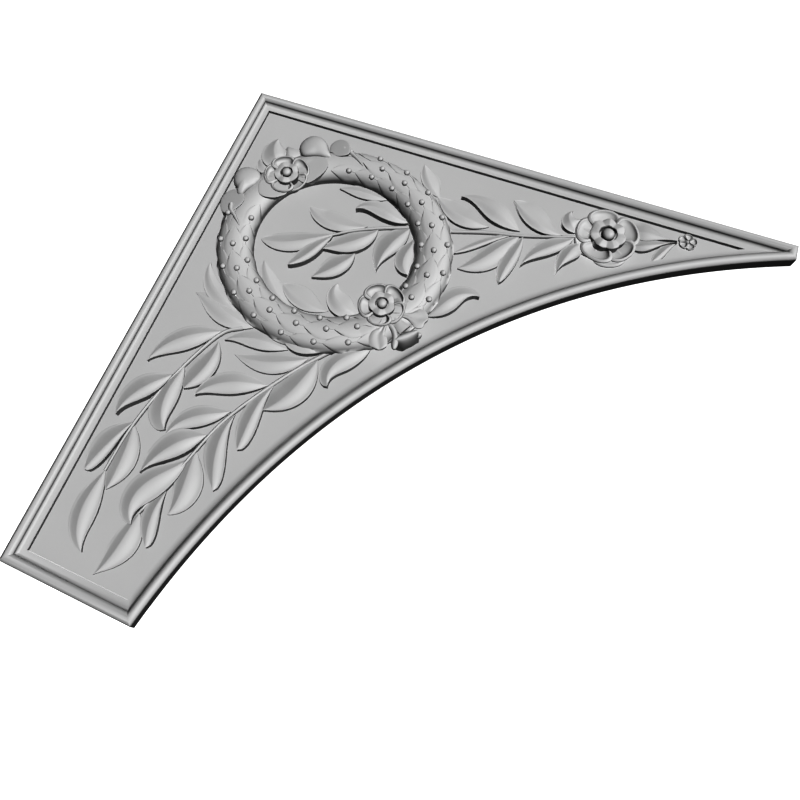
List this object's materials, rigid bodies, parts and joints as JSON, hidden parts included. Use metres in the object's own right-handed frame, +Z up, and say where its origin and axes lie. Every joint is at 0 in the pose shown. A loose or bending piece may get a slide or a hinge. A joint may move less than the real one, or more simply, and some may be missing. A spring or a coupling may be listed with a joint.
{
  "type": "arch spandrel panel",
  "caption": "Corner panel for the wall beside an arch, with a moulded rim and carved laurel wreath, leaf sprays, flowers, fruits and a ribbon bow",
  "frame": {"origin": "on the flat back, behind the middle of the wreath", "axes": "+X along the straight top edge towards the thin tip, +Y into the wall, -Y out of the carved front, +Z up"},
  "size_m": [0.6, 0.032, 0.575],
  "materials": {
    "plaster": "smooth satin-matt cast plaster, primed in one light neutral grey"
  },
  "bodies": {
    "root": {"spandrel_panel": "plaster"}
  },
  "joints": []
}
